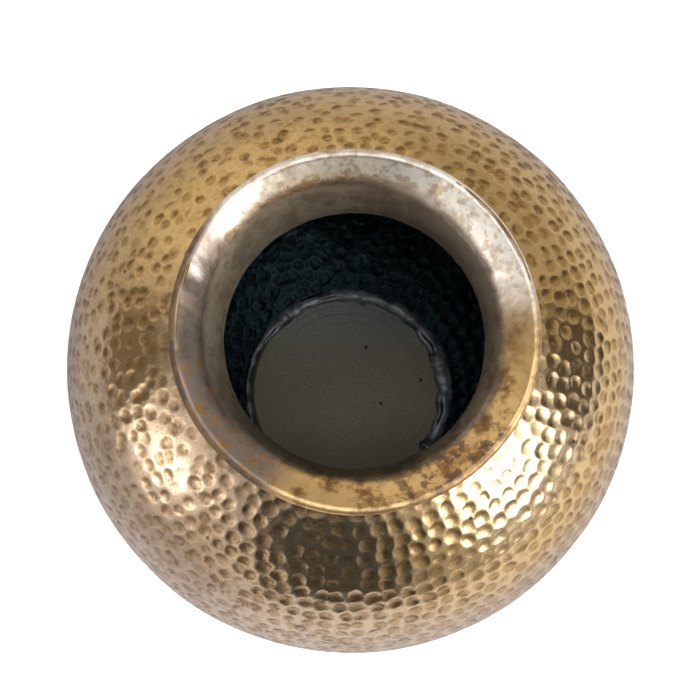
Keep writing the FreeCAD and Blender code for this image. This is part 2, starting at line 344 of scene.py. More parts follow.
def hammered_piece(name, outer, inner, columns, materials):
    """A shell of the belly with the hammer's marks in its outside and their relief on its inside."""
    theta = np.arange(columns) * TURN / columns
    outline = np.concatenate([outer, inner])
    outside_rows = np.arange(len(outline)) < len(outer)
    run, normal = run_of(outline)
    outside = outside_rows[:, None]
    depth = np.where(outside, read_field(marks_depth, run, theta), read_field(marks_inside, run, theta))
    radii = outline[:, :1] - normal[:, :1] * depth
    heights = outline[:, 1:] - normal[:, 1:] * depth
    attributes = {
        "mark": read_field(marks_share, run, theta),
        # mark_shade is painted shade on the marks' steep sides, lit a painted highlight along their other
        # rims
        "mark_shade": np.where(outside, read_field(marks_shade, run, theta), 0),
        "lit": np.where(outside, read_field(marks_lit, run, theta), 0),
    }
    return revolved_mesh(name, radii, heights, materials, np.where(outside_rows, 0, 1), attributes)


def shoulder_shell(outside, inside):
    """Upper half of the belly, from the seam up its outside, over the opening's edge and down its inside."""
    fine, coarse = 0.85 * MM, 4 * MM
    top_inside = SHOULDER_TOP_ARC - SHEET
    side_inside = SHOULDER_SIDE_ARC - SHEET
    opening_inside = angle_at(shoulder_top, top_inside, COLLAR_OUTSIDE, 1)
    outer = joined(
        line((BELLY_RADIUS, SEAM_HEIGHT), (BELLY_RADIUS, BAND_TOP), fine),
        arc(shoulder_side, SHOULDER_SIDE_ARC, 0, SHOULDER_TURN, fine),
        arc(shoulder_top, SHOULDER_TOP_ARC, SHOULDER_TURN, TOP_OPENING, fine),
    )
    inner = joined(
        arc(shoulder_top, top_inside, opening_inside, SHOULDER_TURN, coarse),
        arc(shoulder_side, side_inside, SHOULDER_TURN, 0, coarse),
        line((WALL_RADIUS, BAND_TOP), (WALL_RADIUS, LAP_TOP), coarse),
        line((LAP_RADIUS, LAP_TOP), (LAP_RADIUS, SEAM_HEIGHT), coarse),
    )
    piece = hammered_piece("shoulder_hammered", outer, inner, SHOULDER_COLUMNS, [outside, inside])
    stands_for(piece, "shoulder_shell")


def lower_bowl(outside, inside):
    """Lower half of the belly, from the spigot up its outside, over the lap and down its inside."""
    outer_step, inner_step, floor_step = 1.1 * MM, 2.2 * MM, 0.9 * MM
    bottom_inside = BOWL_BOTTOM_ARC - SHEET
    side_inside = BOWL_SIDE_ARC - SHEET
    opening_inside = angle_at(bowl_bottom, bottom_inside, SPIGOT_RADIUS, -1)
    outer = joined(
        line((SPIGOT_OUTSIDE, SPIGOT_BOTTOM), around(bowl_bottom, BOWL_BOTTOM_ARC, BOTTOM_OPENING), 3 * MM),
        arc(bowl_bottom, BOWL_BOTTOM_ARC, BOTTOM_OPENING, -BOWL_TURN, outer_step),
        arc(bowl_side, BOWL_SIDE_ARC, -BOWL_TURN, 0, outer_step),
        line((BELLY_RADIUS, BAND_BOTTOM), (BELLY_RADIUS, SEAM_HEIGHT), outer_step),
    )
    inner = joined(
        line((LAP_RADIUS, SEAM_HEIGHT), (LAP_RADIUS, LAP_TOP), 3 * MM),
        line((WALL_RADIUS, LAP_TOP), (WALL_RADIUS, BAND_BOTTOM), 3 * MM),
        arc(bowl_side, side_inside, 0, -BOWL_TURN, inner_step),
        arc(bowl_bottom, bottom_inside, -BOWL_TURN, opening_inside, floor_step),
        line((SPIGOT_RADIUS, PLATE_TOP + SHEET), (SPIGOT_RADIUS, SPIGOT_BOTTOM), 3 * MM),
    )
    piece = hammered_piece("bowl_hammered", outer, inner, BOWL_COLUMNS, [outside, inside])
    stands_for(piece, "lower_bowl")


COLLAR_COLUMNS = 600
# degrees round the pot, then distance from the axis, width, height and depth in mm
LIP_DENTS = ((68, 65, 2.4, 3.5, 0.7), (169, 66, 4, 3.5, 0.75))
FACET_ROWS = ((55.0 * MM, 6.6 * MM), (59.5 * MM, 7.4 * MM))  # distance from the axis, spacing
BEAD_COLUMNS, BEAD_ROWS = 900, 26
BEAD_MIDDLE = 47.9 * MM
BEAD_KNOTS = ((137, 0.8), (24, 0.7), (5, 0.9), (332, 0.6))  # degrees, height in mm
BEAD_CRACK = math.radians(115)


def dent(theta, distance, angle, place, width, height, depth):
    """A round dent in the lip, as a depth at angles round the pot and distances from its axis."""
    turn = (theta - angle + math.pi) % TURN - math.pi
    return depth * np.exp(-((turn * place / width) ** 2) - ((distance - place) / height) ** 2)


def around_from(theta, start, full, full_end, end):
    """1 from full to full_end, in degrees round the pot, and falling smoothly to 0 at start and end."""
    turn = np.degrees(theta) % 360
    return between(turn, start, full) * (1 - between(turn, full_end, end))


def funnel_shift(upper, outline):
    """How far each point of the collar's section moves where the neck and lip are one round funnel, without
    a crease: its top face is then a single arc from the lower edge to the lip's end."""
    step = np.linalg.norm(np.diff(upper, axis=0), axis=1)
    share = np.concatenate([[0], np.cumsum(step)]) / step.sum()
    rise = upper[-1, 1] - COLLAR_BOTTOM
    spread = upper[-1, 0] - COLLAR_BORE
    radius = (rise ** 2 + spread ** 2) / (2 * spread)
    turn = math.asin(rise / radius) * share
    face_r = COLLAR_BORE + radius * (1 - np.cos(turn))
    face_z = COLLAR_BOTTOM + radius * np.sin(turn)
    round_face = np.stack([face_r, face_z], axis=1)
    nearest = np.argmin(np.linalg.norm(outline[:, None] - upper[None], axis=2), axis=1)
    return (round_face - upper)[nearest]


def neck_facets(theta, r, rng):
    """Faint hammer facets in two rows round the inner half of the flare."""
    depth = np.zeros(np.broadcast(theta, r).shape)
    for place, spacing in FACET_ROWS:
        marks = round(TURN * place / spacing)
        for mark in range(marks):
            angle = (mark + rng.uniform(-0.2, 0.2)) * TURN / marks
            size = rng.uniform(2.6, 3.4) * MM
            turn = (theta - angle + math.pi) % TURN - math.pi
            inside = 1 - ((turn * place) ** 2 + (r - place) ** 2) / size ** 2
            depth = np.maximum(depth, rng.uniform(0.06, 0.2) * MM * np.clip(inside, 0, 1))
    return depth


def neck_collar(brass):
    """Neck and lip in one sheet. The rim isn't quite round or level, and the neck keeps faint facets."""
    rng = np.random.default_rng(SEED + 1)
    step, roll_step = 0.8 * MM, 0.35 * MM
    lean = [math.pi - NECK_LEAN, math.pi - CREASE_LEAN, math.pi - LIP_LEAN]
    upper = joined(
        line((COLLAR_BORE, COLLAR_BOTTOM), (COLLAR_BORE, NECK_STRAIGHT_TOP), step),
        arc(neck_centre, NECK_ARC, math.pi, lean[0], step),
        arc(crease_centre, CREASE_ARC, lean[0], lean[1], step / 2),
        arc(lip_centre, LIP_ARC, lean[1], lean[2], step),
        arc(roll_centre, ROLL_OUTSIDE, lean[2], -ROLL_END, roll_step),
    )
    under = joined(
        arc(roll_centre, ROLL_INSIDE, -ROLL_END, lean[2], roll_step),
        arc(lip_centre, LIP_ARC - COLLAR_SHEET, lean[2], lean[1], step * 1.5),
        arc(crease_centre, CREASE_ARC - COLLAR_SHEET, lean[1], lean[0], step),
        arc(neck_centre, NECK_ARC - COLLAR_SHEET, lean[0], math.pi, step * 1.5),
        line((COLLAR_OUTSIDE, NECK_STRAIGHT_TOP), (COLLAR_OUTSIDE, COLLAR_BOTTOM), step * 1.5),
    )
    outline = np.concatenate([upper, under])
    theta = np.arange(COLLAR_COLUMNS)[None, :] * TURN / COLLAR_COLUMNS
    r, z = outline[:, :1], outline[:, 1:]
    funnel = around_from(theta, 50, 90, 205, 250)
    shift = funnel_shift(upper[:np.argmax(upper[:, 0] > roll_centre[0] - 1.2 * MM)], outline)
    r = r + funnel * shift[:, :1]
    z = z + funnel * shift[:, 1:]
    height = np.clip((z - NECK_STRAIGHT_TOP) / (collar_high.z - NECK_STRAIGHT_TOP), 0, 1)
    round_error = 0.5 * np.cos(2 * theta + 0.6) + 0.4 * np.cos(theta - 2.6)
    round_error = round_error + 0.22 * np.cos(5 * theta + 1) - 0.25
    radii = r + MM * (0.35 + 0.65 * height) * round_error * np.clip((z - COLLAR_BOTTOM) / (14 * MM), 0, 1)
    level_error = 0.35 * np.cos(2 * theta + 2.2) + 0.3 * np.cos(3 * theta + 0.4) - 0.85
    heights = z + MM * height ** 2 * level_error
    along = z + r
    fine = ripple(theta, along, 8 * MM, 24, rng) * 0.05 * MM
    coarse = ripple(theta, along, 22 * MM, 12, rng) * 0.14 * MM
    on_top = (np.arange(len(outline)) < len(upper))[:, None]
    hollow = coarse + np.where(on_top, fine + neck_facets(theta, r, rng), 0)
    for degrees, *sizes in LIP_DENTS:
        hollow = hollow + dent(theta, r, math.radians(degrees), *(size * MM for size in sizes))
    lip = between(r, 54 * MM, 58 * MM) * between(z, 200 * MM, 208 * MM)
    heights = heights - hollow * (0.15 + 0.85 * lip)
    radii = radii + hollow * (1 - lip) * 0.8
    beyond = r - roll_centre[0]
    rubbed = between(beyond, -0.9 * MM, 0.5 * MM) * (heights > roll_centre[1] - 2 * MM)
    everywhere = np.ones_like(theta)
    attributes = {
        "edge": rubbed * everywhere,
        # crease is painted shade: a dark line between the lip and its curled edge at the back
        "crease": np.exp(-((beyond + 0.9 * MM) / (0.55 * MM)) ** 2) * around_from(theta, 62, 84, 122, 140),
        "reach": (r - COLLAR_BORE) / (roll_centre[0] - COLLAR_BORE) * everywhere,
    }
    piece = revolved_mesh("collar_worn", radii, heights, [brass], None, attributes)
    stands_for(piece, "neck_collar")


def base_bead(solder):
    """Rough bead of solder, uneven in width and height, with knots, a crack beside it and a thin place."""
    rng = np.random.default_rng(SEED + 2)
    theta = np.arange(BEAD_COLUMNS) * TURN / BEAD_COLUMNS
    zero = np.zeros(BEAD_COLUMNS)
    slow = ripple(theta, zero, 60 * MM, 14, rng)
    medium = ripple(theta, zero, 24 * MM, 14, rng)
    quick = ripple(theta, zero, 10 * MM, 18, rng)
    scanty = around_from(theta, 142, 165, 222, 250)
    broad = np.exp(-(np.sin((theta - math.radians(20)) / 2) / 0.3) ** 2)
    width = MM * (3.2 - 1.7 * scanty + 0.9 * broad + 0.3 * slow + 0.5 * medium + 0.06 * quick)
    rise = MM * (3.0 - 1.2 * scanty + 0.4 * medium + 0.08 * quick)
    for degrees, size in BEAD_KNOTS:
        knot = size * MM * np.exp(-((theta - math.radians(degrees)) / 0.035) ** 2)
        width, rise = width + knot, rise + 0.6 * knot
    wander = MM * (1.1 * scanty + 0.2 * np.roll(slow, 200) + 0.35 * np.roll(medium, 90))
    tube = np.linspace(0, TURN, BEAD_ROWS, endpoint=False)[:, None]
    skin = 1 + 0.04 * ripple(theta[None, :], tube * 2.5 * MM, 11 * MM, 26, rng)
    crack = np.exp(-((tube - BEAD_CRACK) / 0.16) ** 2) * np.clip(0.45 + 0.9 * np.roll(slow, 40), 0, 1)
    skin = skin - 0.35 * crack
    radii = BEAD_MIDDLE + wander + width * np.cos(tube) * skin
    heights = PLATE_TOP + 0.2 * rise + 0.8 * rise * np.sin(tube) * skin
    heights = np.clip(heights, PLATE_TOP - 0.2 * MM, None)
    radii = np.minimum(radii, SPIGOT_RADIUS + 1.6 * MM)
    low = between(heights, PLATE_TOP + 0.7 * MM, PLATE_TOP + 0.1 * MM)
    hollow = np.clip(np.maximum(low, crack * 1.3), 0, 1)
    piece = revolved_mesh("base_bead", radii[::-1], heights[::-1], [solder], None, {"hollow": hollow[::-1]})
    stands_for(piece, "base_seam_bead")


# ---------------------------------------------------------------------------------------------------------
# Materials
# ---------------------------------------------------------------------------------------------------------
FINE_RELIEF = 0.14 * MM


class Recipe:
    """A material's node tree, written as a chain of small steps."""

    def __init__(self, name):
        self.material = bpy.data.materials.new(name)
        self.material.use_nodes = True
        self.tree = self.material.node_tree
        self.shader = self.tree.nodes["Principled BSDF"]
        self.place = self.tree.nodes.new("ShaderNodeTexCoord").outputs["Object"]

    def link(self, source, socket):
        """Feeds a socket from a node's output, a number or a colour of three parts."""
        if isinstance(source, bpy.types.NodeSocket):
            self.tree.links.new(source, socket)
        elif isinstance(source, tuple):
            socket.default_value = (*source, 1)
        else:
            socket.default_value = source

    def attribute(self, name):
        node = self.tree.nodes.new("ShaderNodeAttribute")
        node.attribute_name = name
        return node.outputs["Fac"]

    def noise(self, scale, detail=4.0, roughness=0.55, seed=0.0):
        """Noise at features per metre. seed moves it to another place in the pattern."""
        mapping = self.tree.nodes.new("ShaderNodeMapping")
        mapping.inputs["Location"].default_value = (seed, seed * 1.7, seed * 0.6)
        self.tree.links.new(self.place, mapping.inputs["Vector"])
        node = self.tree.nodes.new("ShaderNodeTexNoise")
        node.inputs["Scale"].default_value = scale
        node.inputs["Detail"].default_value = detail
        node.inputs["Roughness"].default_value = roughness
        self.tree.links.new(mapping.outputs["Vector"], node.inputs["Vector"])
        return node.outputs["Fac"]

    def cells(self, scale, feature="F1"):
        node = self.tree.nodes.new("ShaderNodeTexVoronoi")
        node.feature = feature
        node.inputs["Scale"].default_value = scale
        self.tree.links.new(self.place, node.inputs["Vector"])
        return node.outputs["Distance"]

    def math(self, operation, first, second=0.0, clamp=False):
        node = self.tree.nodes.new("ShaderNodeMath")
        node.operation = operation
        node.use_clamp = clamp
        self.link(first, node.inputs[0])
        self.link(second, node.inputs[1])
        return node.outputs[0]

    def times(self, first, second):
        return self.math("MULTIPLY", first, second)

    def plus(self, first, second, clamp=False):
        return self.math("ADD", first, second, clamp)

    def minus(self, first, second, clamp=False):
        return self.math("SUBTRACT", first, second, clamp)

    def larger(self, first, second):
        return self.math("MAXIMUM", first, second)

    def total(self, first, *others, clamp=False):
        """Sum, held between 0 and 1 if clamp is set."""
        for other in others[:-1]:
            first = self.plus(first, other)
        return self.plus(first, others[-1], clamp)

    def ramp(self, value, low, high, to_low=0.0, to_high=1.0):
        """A smooth step: value between low and high becomes to_low to to_high."""
        node = self.tree.nodes.new("ShaderNodeMapRange")
        node.interpolation_type = "SMOOTHSTEP"
        self.link(value, node.inputs["Value"])
        node.inputs["From Min"].default_value = low
        node.inputs["From Max"].default_value = high
        node.inputs["To Min"].default_value = to_low
        node.inputs["To Max"].default_value = to_high
        return node.outputs["Result"]

    def mix(self, share, first, second):
        node = self.tree.nodes.new("ShaderNodeMix")
        node.data_type = "RGBA"
        self.link(share, node.inputs["Factor"])
        self.link(first, node.inputs[6])
        self.link(second, node.inputs[7])
        return node.outputs[2]

    def layers(self, color, *layers):
        """Lays tones over a colour one after another, each by its share."""
        for share, tone in layers:
            color = self.mix(share, color, tone)
        return color

    def height(self):
        """Height above the table. Object coordinates, as in distance and direction."""
        split = self.tree.nodes.new("ShaderNodeSeparateXYZ")
        self.tree.links.new(self.place, split.inputs[0])
        return split.outputs["Z"]

    def distance(self):
        """Distance from the pot's axis."""
        flat = self.tree.nodes.new("ShaderNodeVectorMath")
        flat.operation = "MULTIPLY"
        flat.inputs[1].default_value = (1, 1, 0)
        self.tree.links.new(self.place, flat.inputs[0])
        length = self.tree.nodes.new("ShaderNodeVectorMath")
        length.operation = "LENGTH"
        self.tree.links.new(flat.outputs[0], length.inputs[0])
        return length.outputs["Value"]

    def direction(self, degrees, width):
        """1 towards one side of the pot, falling to 0 at width degrees from it."""
        angle = math.radians(degrees)
        split = self.tree.nodes.new("ShaderNodeSeparateXYZ")
        self.tree.links.new(self.place, split.inputs[0])
        along_x = self.times(split.outputs["X"], math.cos(angle))
        along_y = self.times(split.outputs["Y"], math.sin(angle))
        cosine = self.math("DIVIDE", self.plus(along_x, along_y), self.distance())
        return self.ramp(cosine, math.cos(math.radians(width)), 1.0)

    def bump(self, height, strength, distance):
        node = self.tree.nodes.new("ShaderNodeBump")
        node.inputs["Strength"].default_value = strength
        node.inputs["Distance"].default_value = distance
        self.link(height, node.inputs["Height"])
        self.link(node.outputs["Normal"], self.shader.inputs["Normal"])

    def finish(self, color, roughness, metallic=1.0):
        self.link(color, self.shader.inputs["Base Color"])
        self.link(roughness, self.shader.inputs["Roughness"])
        self.link(metallic, self.shader.inputs["Metallic"])
        return self.material


def mauve_brass(r, pink, in_mark, speckle):
    """Tone of the belly low down: dull patina, partly a painted reflection of the pale table, lighter in
    front.
    """
    pale = r.mix(pink, (0.64, 0.53, 0.43), (0.82, 0.69, 0.58))
    in_marks = r.mix(pink, (0.44, 0.33, 0.24), (0.62, 0.48, 0.36))
    mauve = r.mix(r.times(in_mark, 0.6), pale, in_marks)
    return r.mix(r.ramp(speckle, 0.9, 1.2, 0, 0.8), mauve, (0.36, 0.28, 0.23))


def hammered_brass():
    """Aged brass: pale rubbed ridges, golden brown in the hammer's marks, pinker in front and mauve low down,
    the mauve partly a painted reflection of the table. A painted highlight whitens it beside the lip at the
    front right, each mark has painted shade on its steep side and a painted highlight on its other rim, and
    it is dull at the front left."""
    r = Recipe("hammered_brass")
    cloud = r.noise(13, 5, 0.6)
    blotch = r.noise(70, 5, 0.62, seed=3)
    mottle = r.noise(230, 5, 0.68, seed=11)
    fine = r.noise(620, 4, 0.66, seed=5)
    grain = r.noise(2400, 2, 0.5, seed=7)
    in_mark = r.ramp(r.attribute("mark"), 0.08, 0.5)
    pink = r.direction(-122, 88)
    dull = r.times(r.direction(-140, 42), r.ramp(cloud, 0.3, 0.6))
    # painted highlight: whiter, less tarnished and with paler marks beside the lip at the front right
    painted_highlight = r.times(r.direction(-22, 40), r.ramp(r.height(), 148 * MM, 166 * MM))
    # partly painted reflection: the mauve tone low down stands for the pale table mirrored there
    low = r.times(r.ramp(r.height(), 160 * MM, 116 * MM), r.ramp(blotch, 0.3, 0.65, 0.6, 0.95))
    # painted shade: dark crescents on the marks' steep sides
    crescent_shade = r.times(r.attribute("mark_shade"), r.ramp(mottle, 0.35, 0.6, 1.0, 0.75))
    pits = r.times(r.ramp(r.cells(70), 0.075, 0.05), r.ramp(blotch, 0.5, 0.6))
    tarnish = r.total(
        r.ramp(cloud, 0.38, 0.66, 0, 0.26),
        r.ramp(blotch, 0.42, 0.68, 0, 0.24),
        r.times(in_mark, r.ramp(mottle, 0.3, 0.6, 0.1, 0.42)),
        r.ramp(mottle, 0.44, 0.66, -0.06, 0.26),
        r.ramp(fine, 0.42, 0.64, -0.1, 0.3),
        r.times(painted_highlight, -0.35),
        r.times(r.direction(-35, 100), -0.2),
        clamp=True,
    )
    ridge_tone = r.mix(pink, (0.93, 0.665, 0.30), (0.90, 0.725, 0.53))
    mark_tone = r.mix(pink, (0.70, 0.44, 0.155), (0.74, 0.51, 0.27))
    aged = r.mix(pink, (0.60, 0.385, 0.14), (0.56, 0.405, 0.24))
    brown, cool, bright = (0.22, 0.125, 0.05), (0.36, 0.27, 0.195), (0.96, 0.82, 0.60)
    shade_brown, rim_highlight, black = (0.14, 0.07, 0.026), (0.96, 0.79, 0.54), (0.05, 0.03, 0.02)
    color = r.layers(
        ridge_tone,
        (r.times(in_mark, r.ramp(painted_highlight, 0, 1, 0.85, 0.3)), mark_tone),
        (tarnish, aged),
        (r.times(dull, 0.75), cool),
        (r.times(painted_highlight, 0.55), bright),
        (r.ramp(tarnish, 0.6, 1.0, 0, 0.7), brown),
        (low, mauve_brass(r, pink, in_mark, r.plus(mottle, fine))),
        # painted shade in the crescents on the marks' steep sides
        (r.times(crescent_shade, 0.9), shade_brown),
        # painted highlight along the marks' other rims
        (r.times(r.attribute("lit"), 0.6), rim_highlight),
        (r.times(pits, 0.8), black),
    )
    roughness = r.total(
        r.ramp(tarnish, 0, 1, 0.14, 0.3),
        r.ramp(grain, 0.2, 0.8, -0.02, 0.04),
        r.times(low, 0.08),
        r.times(crescent_shade, 0.15),
    )
    waves = r.times(r.noise(80, 1, 0.4, seed=14), r.ramp(dull, 0, 0.5, 3, 16))
    r.bump(r.total(grain, r.times(fine, 2.0), waves, r.times(mottle, 2.5)), 0.2, FINE_RELIEF)
    return r.finish(color, roughness)


def dark_inside():
    """Blue-black oxide with a little dust, and painted highlights along the borders of the bumps that the
    hammer raised.
    """
    r = Recipe("inside_oxide")
    mark = r.attribute("mark")
    cloud = r.noise(40, 5, 0.6, seed=2)
    speck = r.noise(900, 3, 0.6, seed=4)
    # painted highlight: lighter bluish lines along the bumps' borders and the cell edges
    edge_highlight = r.times(r.ramp(mark, 0.0, 0.05), r.ramp(mark, 0.22, 0.07))
    scales = r.cells(150, "DISTANCE_TO_EDGE")
    edge_highlight = r.larger(edge_highlight, r.ramp(scales, 0.08, 0.02, 0, 0.4))
    edge_highlight = r.times(edge_highlight, r.ramp(cloud, 0.4, 0.58, 0.2, 1))
    dust = r.times(r.ramp(r.cells(130), 0.05, 0.03), r.ramp(cloud, 0.42, 0.5))
    color = r.layers(
        r.mix(r.ramp(cloud, 0.35, 0.7), (0.0022, 0.0042, 0.0048), (0.0045, 0.0075, 0.0084)),
        (r.times(edge_highlight, 0.8), (0.05, 0.075, 0.085)),
        (r.ramp(speck, 0.66, 0.8, 0, 0.5), (0.06, 0.075, 0.08)),
        (dust, (0.30, 0.34, 0.36)),
    )
    roughness = r.minus(r.ramp(cloud, 0.3, 0.7, 0.3, 0.42), r.times(edge_highlight, 0.1))
    r.shader.inputs["Specular IOR Level"].default_value = 0.13
    r.shader.inputs["Specular Tint"].default_value = (0.45, 0.85, 0.95, 1)
    r.bump(r.plus(r.times(speck, 0.4), r.ramp(scales, 0.0, 0.25)), 0.28, 0.5 * MM)
    return r.finish(color, roughness, 0.0)


def neck_brass(r, stain, right):
    """Dark tone of the neck, with painted shade darkest in front and at the right."""
    shade = r.direction(260, 75)
    light = r.mix(shade, (0.36, 0.30, 0.22), (0.10, 0.09, 0.06))
    dark = r.mix(shade, (0.19, 0.15, 0.105), (0.06, 0.052, 0.034))
    tone = r.mix(r.ramp(stain, 0.42, 0.6), light, dark)
    # painted shade: the neck darker at the right
    return r.mix(r.times(right, 0.7), tone, (0.12, 0.085, 0.06))


def edge_brass(r, in_front, low_right, left, stain, right):
    """Tone of the lip's curled edge: pale behind, golden in front, brown at the lower right and the left."""
    stained = r.times(r.ramp(stain, 0.45, 0.58, 0, 0.8), r.ramp(right, 0, 1, 1, 0.3))
    return r.layers(
        r.mix(in_front, (1.0, 0.96, 0.88), (0.86, 0.60, 0.31)),
        (low_right, (0.27, 0.17, 0.085)),
        (left, (0.17, 0.125, 0.095)),
        (stained, (0.36, 0.24, 0.14)),
    )


def collar_brass():
    """Handled lip: pale at the back, purple-grey on the left, golden with brown stains in front, and whitened
    at the right by a painted highlight. The neck below it is dark, with painted shade at its right."""
    r = Recipe("collar_brass")
    reach = r.attribute("reach")
    edge = r.attribute("edge")
    cloud = r.noise(28, 5, 0.62, seed=1)
    stain = r.noise(95, 6, 0.68, seed=9)
    spots = r.noise(230, 5, 0.62, seed=12)
    fleck = r.noise(420, 4, 0.6, seed=6)
    grain = r.noise(2200, 2, 0.5, seed=8)
    front = r.direction(300, 98)
    in_front = r.ramp(front, 0.06, 0.4)
    back = r.direction(107, 70)
    # right marks the side where a painted highlight whitens the lip and painted shade darkens the neck
    right = r.direction(50, 50)
    left = r.ramp(r.direction(200, 62), 0.05, 0.5)
    low_right = r.direction(312, 36)
    spotty = r.ramp(spots, 0.5, 0.6)
    inner = r.times(back, r.ramp(r.plus(reach, r.ramp(stain, 0.3, 0.7, -0.06, 0.06)), 0.65, 0.46))
    neck = r.ramp(r.plus(reach, r.ramp(cloud, 0.3, 0.7, -0.06, 0.06)), 0.46, 0.32)
    stains = r.plus(
        r.times(r.ramp(stain, 0.47, 0.6), r.times(front, 0.85)), r.ramp(stain, 0.56, 0.7, 0, 0.5), clamp=True)
    orange_spots = r.times(r.direction(225, 40), r.ramp(spots, 0.53, 0.6))
    gold, pale, violet = (0.96, 0.67, 0.30), (0.98, 0.91, 0.80), (0.34, 0.285, 0.26)
    orange, brown, soft_brown = (0.56, 0.31, 0.10), (0.34, 0.185, 0.07), (0.50, 0.34, 0.17)
    dark = (0.08, 0.062, 0.055)
    edge_tone = edge_brass(r, in_front, low_right, left, stain, right)
    color = r.layers(
        r.mix(in_front, pale, gold),
        (r.ramp(cloud, 0.42, 0.66, 0, 0.5), r.mix(in_front, (0.74, 0.60, 0.44), (0.66, 0.42, 0.18))),
        (r.times(back, 0.25), (0.94, 0.79, 0.60)),
        # painted highlight: near-white over the lip's right
        (r.times(right, 0.75), (1.0, 0.97, 0.90)),
        (r.times(left, 0.92), violet),
        (r.times(orange_spots, 0.85), orange),
        (stains, brown),
        (r.times(r.times(spotty, r.direction(85, 95)), 0.65), soft_brown),
        (r.times(r.times(low_right, spotty), 0.8), (0.14, 0.10, 0.085)),
        (r.times(r.ramp(fleck, 0.6, 0.72), 0.5), dark),
        (r.times(inner, 0.92), (0.36, 0.28, 0.21)),
        (r.times(neck, 0.92), neck_brass(r, stain, right)),
        # painted shade in the crease before the curled edge
        (r.times(r.attribute("crease"), 0.7), dark),
        (r.times(edge, r.ramp(left, 0, 1, 0.6, 0.95)), edge_tone),
    )
    roughness = r.total(
        r.ramp(stain, 0.3, 0.75, 0.18, 0.36),
        r.times(neck, 0.2),
        r.times(left, 0.06),
        r.times(edge, r.ramp(left, 0, 1, 0.14, 0.4)),
    )
    pale_back = r.minus(r.times(back, 0.6), inner, clamp=True)
    chalky = r.larger(r.times(neck, 0.5), r.larger(pale_back, right))
    metal = r.minus(0.92, r.times(chalky, 0.5))
    r.bump(r.total(grain, r.times(fleck, 2.0), r.times(spots, 3.0)), 0.2, FINE_RELIEF)
    return r.finish(color, roughness, metal)


def base_sheet():
    """Dull olive-grey disc with faint lathe rings, speckles and a few black pits, and painted shadow
    darkening its front side. Its rim is black.
    """
    r = Recipe("base_sheet")
    distance = r.distance()
    cloud = r.noise(45, 4, 0.55, seed=3)
    speck = r.noise(1500, 3, 0.6, seed=2)
    patch = r.ramp(r.noise(30, 3, 0.5, seed=5), 0.45, 0.62)
    pit = r.ramp(r.cells(62), 0.07, 0.045)
    rim = r.ramp(distance, 45.2 * MM, 46.6 * MM)
    back = r.times(r.direction(97, 75), r.ramp(distance, 10 * MM, 45 * MM))
    # painted shadow: the disc darker towards the front
    near_shadow = r.times(r.direction(-83, 80), r.ramp(distance, 5 * MM, 45 * MM))
    arcs = r.times(r.math("SINE", r.times(distance, 1500)), back)
    color = r.layers(
        r.mix(cloud, (0.27, 0.235, 0.15), (0.38, 0.335, 0.215)),
        (r.times(near_shadow, 0.8), (0.145, 0.12, 0.07)),
        (r.times(back, 0.8), (0.31, 0.335, 0.31)),
        (r.ramp(speck, 0.5, 0.66, 0, 0.8), (0.09, 0.08, 0.06)),
        (r.ramp(arcs, 0.35, 0.9, 0, 0.35), (0.16, 0.17, 0.165)),
        (r.larger(r.times(pit, 0.9), r.times(rim, 0.9)), (0.008, 0.008, 0.008)),
    )
    rings = r.times(r.math("SINE", r.times(distance, 2400)), r.times(patch, 0.15))
    r.bump(r.plus(rings, speck), 0.2, 0.1 * MM)
    return r.finish(color, r.ramp(speck, 0.3, 0.7, 0.46, 0.6), 0.35)


def solder():
    """Silvery grey metal, rough, nearly black in its hollows."""
    r = Recipe("solder")
    hollow = r.attribute("hollow")
    lumps = r.noise(120, 4, 0.55, seed=1)
    grain = r.noise(1800, 3, 0.6, seed=2)
    color = r.mix(r.ramp(lumps, 0.4, 0.62), (0.13, 0.135, 0.135), (0.40, 0.42, 0.42))
    color = r.mix(r.ramp(hollow, 0.15, 0.75), color, (0.005, 0.005, 0.006))
    r.bump(r.plus(lumps, r.times(grain, 0.15)), 0.25, 0.6 * MM)
    return r.finish(color, r.ramp(grain, 0.3, 0.7, 0.36, 0.5), 0.35)


def plain_brass(name, tone, rough):
    """Turned or cast brass of the hidden and lower pieces, tarnished in patches."""
    r = Recipe(name)
    cloud = r.noise(60, 5, 0.6, seed=tone)
    grain = r.noise(1600, 3, 0.6, seed=2)
    color = r.mix(r.ramp(cloud, 0.38, 0.66), (0.62 * tone, 0.46 * tone, 0.25 * tone),
                  (0.30 * tone, 0.20 * tone, 0.10 * tone))
    r.bump(grain, 0.25, 0.1 * MM)
    return r.finish(color, r.ramp(cloud, 0.3, 0.7, rough, rough + 0.14))


# ---------------------------------------------------------------------------------------------------------
# Build the pot
# ---------------------------------------------------------------------------------------------------------
outside_brass = hammered_brass()
inside_oxide = dark_inside()
shoulder_shell(outside_brass, inside_oxide)
lower_bowl(outside_brass, inside_oxide)
neck_collar(collar_brass())
base_bead(solder())

for node, material in (
    ("base_plate", base_sheet()),
    ("foot_ring", plain_brass("foot_brass", 0.95, 0.3)),
    ("rim_wire", plain_brass("wire_brass", 0.8, 0.35)),
    ("belly_seam_braze", plain_brass("belly_braze", 0.6, 0.4)),
    ("neck_seam_braze", plain_brass("neck_braze", 0.75, 0.36)),
    ("foot_seam_braze", plain_brass("foot_braze", 0.7, 0.38)),
):
    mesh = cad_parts[node].data
    mesh.materials.clear()
    mesh.materials.append(material)

# ---------------------------------------------------------------------------------------------------------
# Floor, light and camera
# ---------------------------------------------------------------------------------------------------------
scene = bpy.context.scene
scene.view_settings.view_transform = "Standard"


